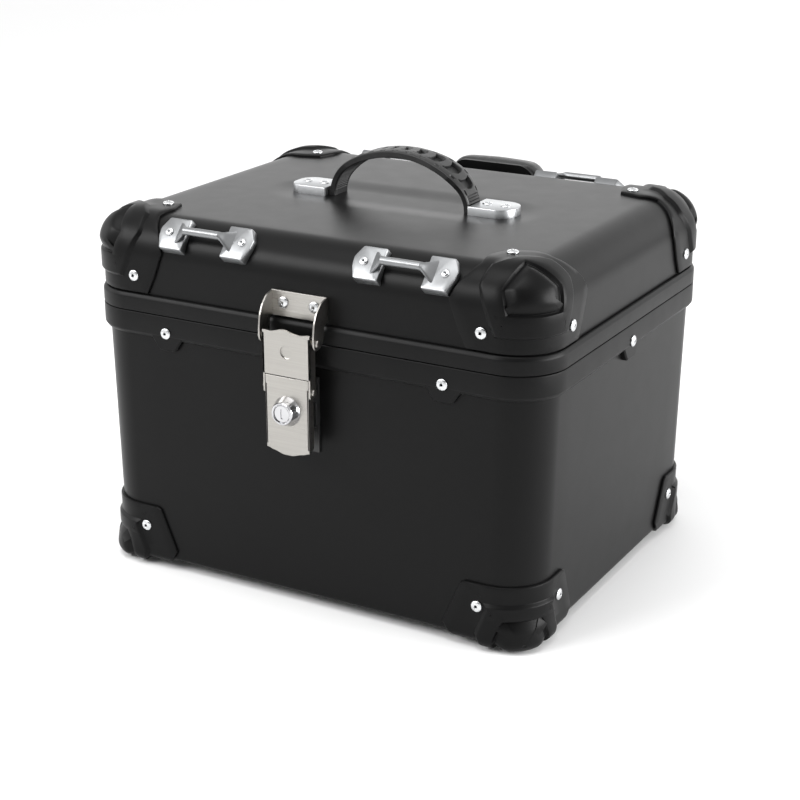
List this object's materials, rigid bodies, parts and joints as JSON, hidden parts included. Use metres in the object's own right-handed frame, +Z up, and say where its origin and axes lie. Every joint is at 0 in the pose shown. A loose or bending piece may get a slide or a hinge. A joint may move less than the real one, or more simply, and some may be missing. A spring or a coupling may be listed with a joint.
{
  "type": "motorcycle top case",
  "caption": "Hard rectangular luggage case with a hinged lid, moulded corner guards, tie-down hooks, arched carrying handle, backrest pad and a key-locked latch.",
  "frame": {"origin": "centre of the four bolt holes, on the underside of the floor", "axes": "+Z up, -Y the latch side (front), +X to the right seen from the front"},
  "size_m": [0.4344, 0.3955, 0.3565],
  "materials": {
    "black_sheet": "satin black powder coat on aluminium sheet",
    "black_rim": "satin black coated aluminium extrusion",
    "guard_plastic": "moulded black plastic, fine matt grain",
    "rivet_metal": "bare aluminium rivet",
    "cast_hook": "bright die-cast metal",
    "satin_cap": "satin silver",
    "grip_rubber": "moulded black rubber",
    "seal_rubber": "soft black rubber",
    "latch_steel": "brushed stainless steel",
    "lock_chrome": "polished chrome",
    "hidden_steel": "zinc plated steel",
    "hinge_black": "black coated steel",
    "pad_leather": "black leathercloth over foam"
  },
  "bodies": {
    "base_box": {"base_shell": "black_sheet", "base_rim": "black_rim", "floor_plate": "hidden_steel", "base_guard_front_left": "guard_plastic", "base_guard_front_right": "guard_plastic", "base_guard_rear_left": "guard_plastic", "base_guard_rear_right": "guard_plastic", "base_guard_rivets": "rivet_metal", "base_rim_rivets": "rivet_metal", "latch_strike": "hinge_black", "latch_strike_rivets": "rivet_metal", "hinge_base_leaf_left": "hinge_black", "hinge_base_leaf_right": "hinge_black", "hinge_pin_left": "hidden_steel", "hinge_pin_right": "hidden_steel", "hinge_base_rivets": "rivet_metal"},
    "lid": {"lid_shell": "black_sheet", "lid_rim": "black_rim", "lid_seal": "seal_rubber", "lid_guard_front_left": "guard_plastic", "lid_guard_front_right": "guard_plastic", "lid_guard_rear_left": "guard_plastic", "lid_guard_rear_right": "guard_plastic", "lid_guard_rivets": "rivet_metal", "tie_hook_front_left": "cast_hook", "tie_hook_front_right": "cast_hook", "tie_hook_rear_left": "cast_hook", "tie_hook_rear_right": "cast_hook", "tie_hook_rivets": "rivet_metal", "handle_grip": "grip_rubber", "handle_cap_left": "satin_cap", "handle_cap_right": "satin_cap", "handle_screws": "rivet_metal", "handle_backing_left": "hidden_steel", "handle_backing_right": "hidden_steel", "backrest_plate": "guard_plastic", "backrest_pad": "pad_leather", "backrest_screws": "hidden_steel", "hinge_lid_leaf_left": "hinge_black", "hinge_lid_leaf_right": "hinge_black", "hinge_lid_rivets": "rivet_metal", "latch_bracket": "latch_steel", "latch_bracket_rivets": "rivet_metal", "latch_backing_plate": "hidden_steel", "latch_upper_pin": "latch_steel"},
    "latch_flap": {"latch_flap": "latch_steel", "latch_lower_pin": "latch_steel"},
    "lock_plate": {"lock_plate": "latch_steel", "lock_housing": "lock_chrome", "lock_nut": "hidden_steel"},
    "key": {"key_cylinder": "lock_chrome", "lock_cam": "hidden_steel", "cam_screw": "hidden_steel"}
  },
  "joints": [
    {"name": "lid_hinge", "type": "hinge", "parent": "base_box", "child": "lid", "pos_m": [0, 0.177, 0.225], "axis": [-1, 0, 0], "range_deg": [0, 95]},
    {"name": "latch_flap_hinge", "type": "hinge", "parent": "lid", "child": "latch_flap", "pos_m": [0, -0.185, 0.23], "axis": [-1, 0, 0], "range_deg": [0, 100]},
    {"name": "lock_plate_hinge", "type": "hinge", "parent": "latch_flap", "child": "lock_plate", "pos_m": [0, -0.1855, 0.189], "axis": [-1, 0, 0], "range_deg": [0, 90]},
    {"name": "key_turn", "type": "hinge", "parent": "lock_plate", "child": "key", "pos_m": [0, -0.19, 0.171], "axis": [0, -1, 0], "range_deg": [0, 90]}
  ]
}
